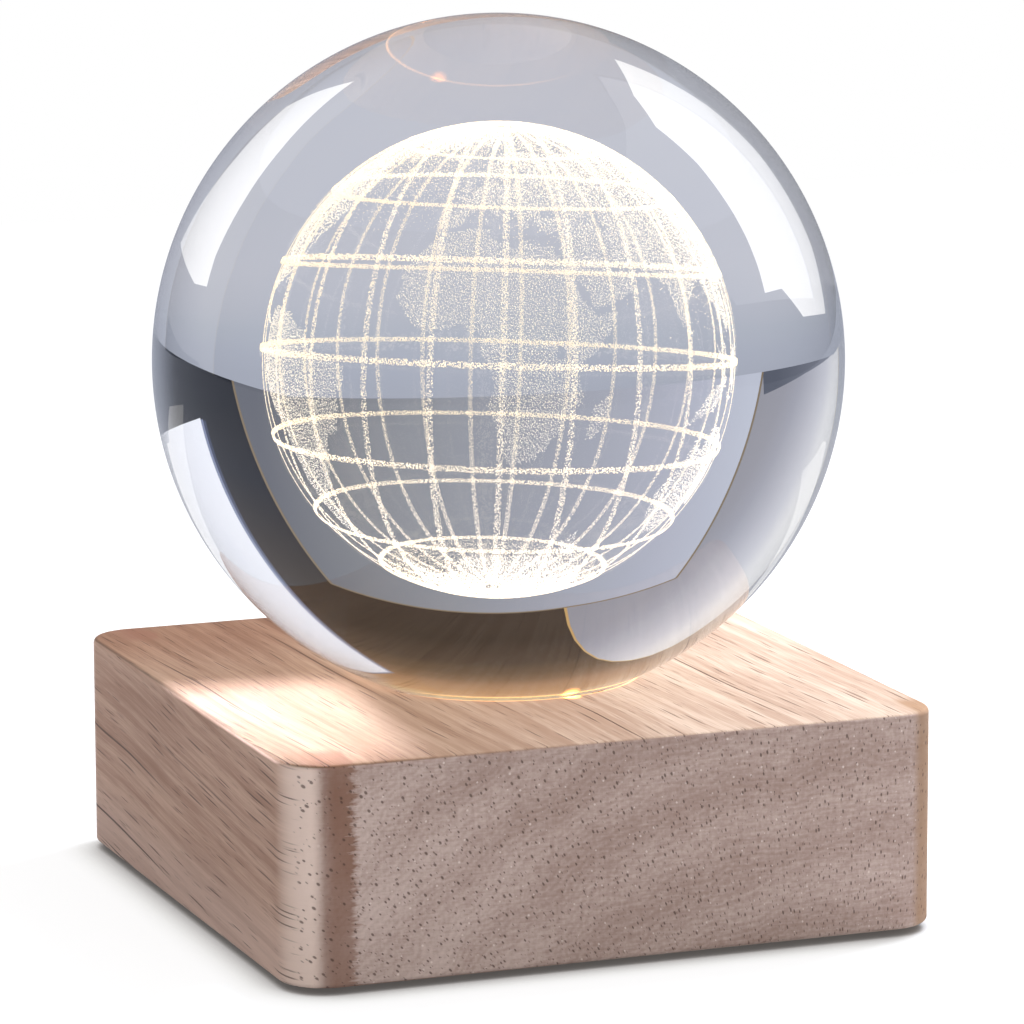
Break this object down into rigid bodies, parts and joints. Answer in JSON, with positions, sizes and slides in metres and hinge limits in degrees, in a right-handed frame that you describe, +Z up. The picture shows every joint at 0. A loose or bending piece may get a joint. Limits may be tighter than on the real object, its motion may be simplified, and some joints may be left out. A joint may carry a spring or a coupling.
{
  "type": "light-up globe award",
  "caption": "Clear crystal ball with an engraved globe inside, resting in a round seat on a square wooden base that lights it from below.",
  "frame": {"origin": "centre of the base on the surface that it stands on", "axes": "+Z up through the ball, +X to the right, the bare front face towards -Y, the socket and switch towards +Y"},
  "size_m": [0.08, 0.08, 0.1025],
  "materials": {
    "wood": "fine sanded, clear matt oil",
    "crystal": "polished optical glass",
    "engraving": "laser marks inside the glass, lit warm white",
    "window_acrylic": "clear polished acrylic",
    "white_plastic": "moulded, satin",
    "lamp_board": "white solder mask",
    "lamp_chip": "phosphor, lit",
    "screw_steel": "zinc plated",
    "black_plastic": "fine moulded texture",
    "foot_rubber": "matt",
    "control_board": "green solder mask",
    "chip_black": "moulded epoxy",
    "resistor": "fired film with tinned ends",
    "socket_steel": "nickel plated",
    "switch_metal": "tinned",
    "knob_plastic": "moulded, ribbed",
    "red_insulation": "satin sleeve",
    "black_insulation": "satin sleeve",
    "solder": "bright solder"
  },
  "bodies": {
    "base": {"wood_base": "wood", "light_window": "window_acrylic", "reflector_cup": "white_plastic", "lamp_board": "lamp_board", "lamp_chips": "lamp_chip", "lamp_board_screws": "screw_steel", "bottom_cover": "black_plastic", "cover_screws": "screw_steel", "front_left_foot": "foot_rubber", "front_right_foot": "foot_rubber", "rear_left_foot": "foot_rubber", "rear_right_foot": "foot_rubber", "control_board": "control_board", "board_screws": "screw_steel", "driver_chip": "chip_black", "chip_resistors": "resistor", "socket_shell": "socket_steel", "socket_tongue": "black_plastic", "switch_body": "switch_metal", "rear_panel": "black_plastic", "panel_screws": "screw_steel", "live_wire": "red_insulation", "return_wire": "black_insulation", "solder_joints": "solder"},
    "ball": {"crystal_ball": "crystal", "engraved_meridians": "engraving", "engraved_parallels": "engraving", "engraved_land": "engraving"},
    "knob": {"switch_knob": "knob_plastic"}
  },
  "joints": [
    {"name": "ball_lift", "type": "slide", "parent": "base", "child": "ball", "axis": [0, 0, 1], "range_m": [0, 0.04]},
    {"name": "switch_slide", "type": "slide", "parent": "base", "child": "knob", "axis": [1, 0, 0], "range_m": [0, 0.002]}
  ]
}
